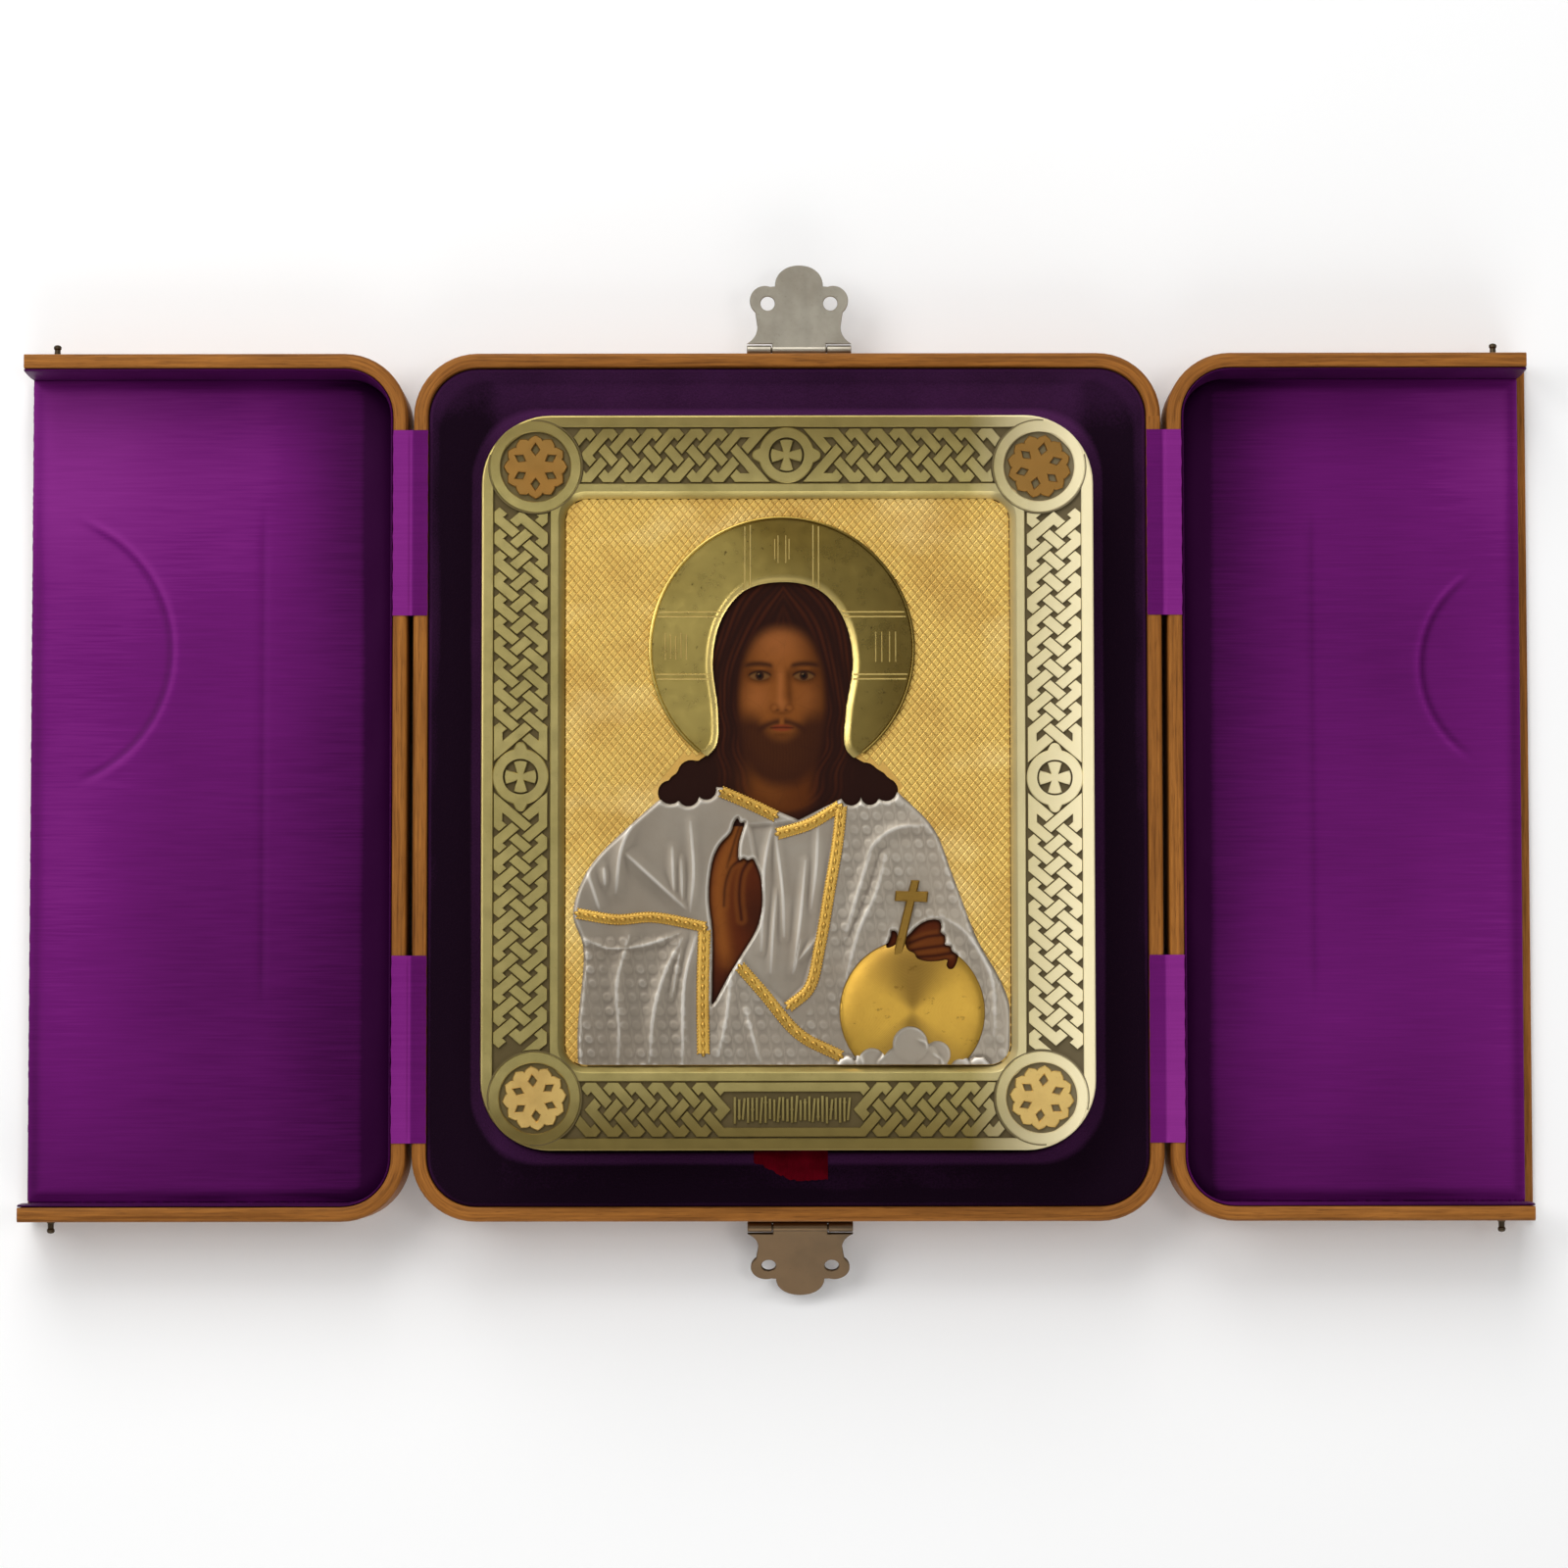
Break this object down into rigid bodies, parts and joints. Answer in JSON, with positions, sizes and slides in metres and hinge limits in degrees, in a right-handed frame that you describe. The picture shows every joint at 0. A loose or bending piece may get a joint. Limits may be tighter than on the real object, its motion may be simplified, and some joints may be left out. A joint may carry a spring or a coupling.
{
  "type": "icon with riza in a travelling case",
  "caption": "Painted icon under a chased gilt and silver cover, lying in the velvet bed of an open oak travelling case with silk-lined doors and swinging clasps.",
  "frame": {"origin": "middle of the underside of the case, on the surface that the open case lies on", "axes": "+X to the right of the icon, +Y to the top of the icon, +Z out of the icon towards the viewer"},
  "size_m": [0.5572, 0.3805, 0.0542],
  "materials": {
    "oak": "waxed, darkened with age",
    "purple_silk": "lustrous, rubbed and marked",
    "dark_velvet": "worn pile",
    "red_silk": "dull, frayed at one corner",
    "painted_board": "tempera under darkened varnish",
    "green_gilt": "gilt with a greenish tarnish",
    "gilt_field": "engraved lattice, bright gilt",
    "silver": "chased silver, dark in the hollows",
    "halo_gilt": "smooth gilt, engraved",
    "orb_gilt": "gilt",
    "amber_gilt": "gilt with an amber tarnish",
    "pale_gilt": "pale gilt",
    "clasp_silver": "worn grey silver plate",
    "clasp_bronze": "brown tarnish",
    "dark_metal": "dark patina"
  },
  "bodies": {
    "case": {"case_back": "oak", "case_frame": "oak", "velvet_bed": "dark_velvet", "lifting_ribbon": "red_silk", "icon_board": "painted_board", "riza_border": "green_gilt", "riza_field": "gilt_field", "riza_robe": "silver", "riza_halo": "halo_gilt", "riza_orb": "orb_gilt", "rosette_top_left": "amber_gilt", "rosette_top_right": "amber_gilt", "rosette_bottom_left": "pale_gilt", "rosette_bottom_right": "pale_gilt", "clasp_leaf_top": "clasp_silver", "clasp_leaf_bottom": "clasp_bronze", "clasp_rod_top": "dark_metal", "clasp_rod_bottom": "dark_metal", "hinge_ribbon_left_upper": "purple_silk", "hinge_ribbon_left_lower": "purple_silk", "hinge_ribbon_right_upper": "purple_silk", "hinge_ribbon_right_lower": "purple_silk"},
    "left_door": {"left_door_panel": "oak", "left_door_frame": "oak", "left_door_lining": "purple_silk", "left_door_pin_top": "dark_metal", "left_door_pin_bottom": "dark_metal"},
    "right_door": {"right_door_panel": "oak", "right_door_frame": "oak", "right_door_lining": "purple_silk", "right_door_pin_top": "dark_metal", "right_door_pin_bottom": "dark_metal"},
    "top_clasp": {"clasp_flap_top": "clasp_silver"},
    "bottom_clasp": {"clasp_flap_bottom": "clasp_bronze"}
  },
  "joints": [
    {"name": "left_door_hinge", "type": "hinge", "parent": "case", "child": "left_door", "pos_m": [-0.1386, 0, 0.0315], "axis": [0, 1, 0], "range_deg": [0, 180], "deforming": ["hinge_ribbon_left_upper", "hinge_ribbon_left_lower"]},
    {"name": "right_door_hinge", "type": "hinge", "parent": "case", "child": "right_door", "pos_m": [0.1386, 0, 0.0315], "axis": [0, -1, 0], "range_deg": [0, 180], "deforming": ["hinge_ribbon_right_upper", "hinge_ribbon_right_lower"]},
    {"name": "top_clasp_hinge", "type": "hinge", "parent": "case", "child": "top_clasp", "pos_m": [0.0044, 0.1617, 0.02275], "axis": [1, 0, 0], "range_deg": [-45, 90]},
    {"name": "bottom_clasp_hinge", "type": "hinge", "parent": "case", "child": "bottom_clasp", "pos_m": [0.0044, -0.1617, 0.02275], "axis": [-1, 0, 0], "range_deg": [-7, 128]}
  ]
}
